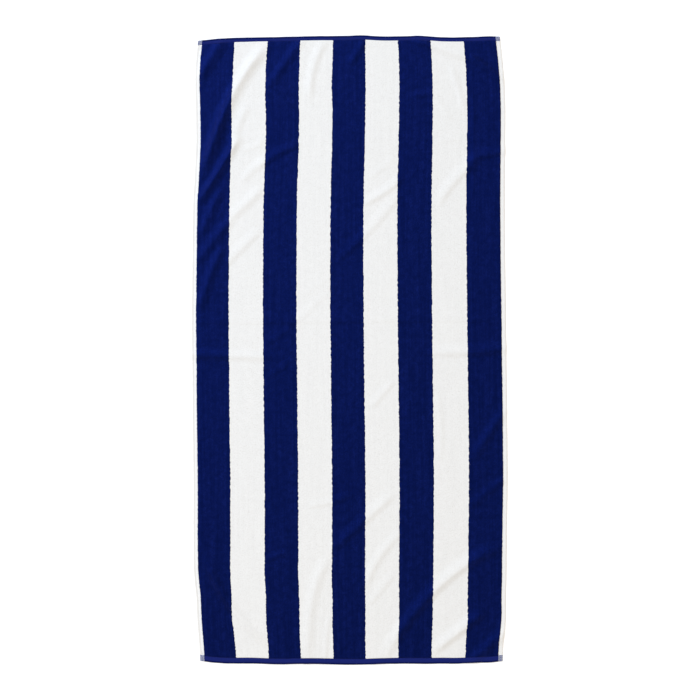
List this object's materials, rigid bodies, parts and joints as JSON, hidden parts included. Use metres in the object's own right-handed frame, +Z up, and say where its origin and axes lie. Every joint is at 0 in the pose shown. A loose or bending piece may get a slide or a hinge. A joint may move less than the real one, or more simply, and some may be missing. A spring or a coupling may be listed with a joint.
{
  "type": "beach towel",
  "caption": "Flat rectangular terry beach towel with bold lengthwise navy and white stripes, woven selvedges and narrow hems, lying with soft diagonal ridges, for drying off or lying on.",
  "frame": {"origin": "on the surface that the towel lies on, under the middle of its bounding box", "axes": "+X across the towel, +Y along its length towards its top end, +Z up from the surface"},
  "size_m": [0.7678, 1.5232, 0.0089],
  "materials": {
    "navy_terry": "matt looped cotton pile"
  },
  "bodies": {
    "root": {"towel": "navy_terry"}
  },
  "joints": []
}
